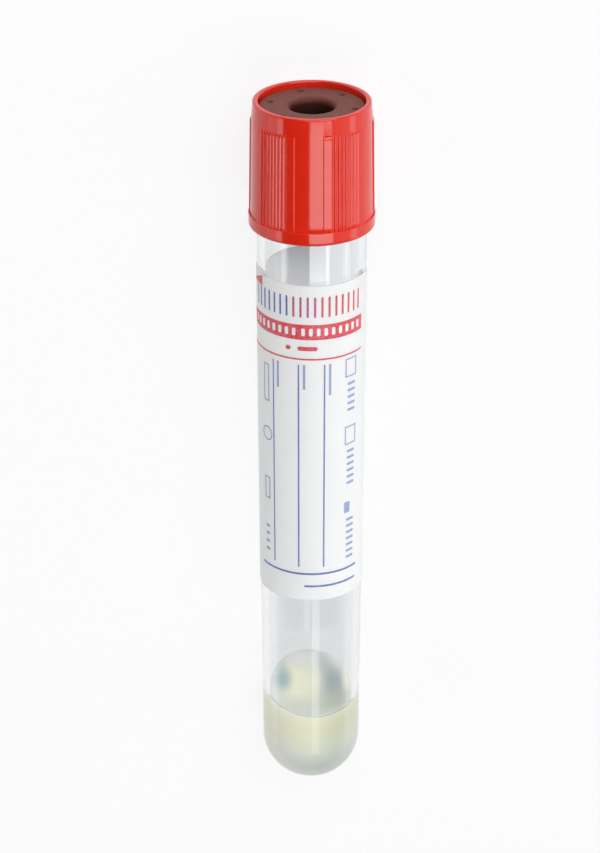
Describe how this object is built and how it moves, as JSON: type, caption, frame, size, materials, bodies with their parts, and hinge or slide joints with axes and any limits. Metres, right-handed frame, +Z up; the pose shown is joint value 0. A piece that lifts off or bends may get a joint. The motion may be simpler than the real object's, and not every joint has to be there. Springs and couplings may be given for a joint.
{
  "type": "blood collection tube",
  "caption": "Clear round-bottomed tube with a wrapped label, a plug of separator gel, a rubber stopper and a ribbed red cap that pull off together.",
  "frame": {"origin": "bottom centre of the bounding box, on the surface that the tube lies on", "axes": "+Z up; +Y along the tube towards its cap, level with the ground, the tube's own axis leaning up 1.13 degrees from it because the cap's flange is wider than the round bottom; the label's front faces +Z"},
  "size_m": [0.0184, 0.1116, 0.0182],
  "materials": {
    "tube": "clear, glossy",
    "label": "white satin film with red and blue print",
    "gel": "cloudy pale yellow gel, wet gloss",
    "stopper": "matt brown rubber",
    "cap": "red, satin gloss"
  },
  "bodies": {
    "tube": {"tube": "tube", "label": "label", "gel": "gel"},
    "closure": {"cap": "cap", "stopper": "stopper"}
  },
  "joints": [
    {"name": "closure_pull", "type": "slide", "parent": "tube", "child": "closure", "axis": [0, 0.9998, 0.0198], "range_m": [0, 0.025]}
  ]
}
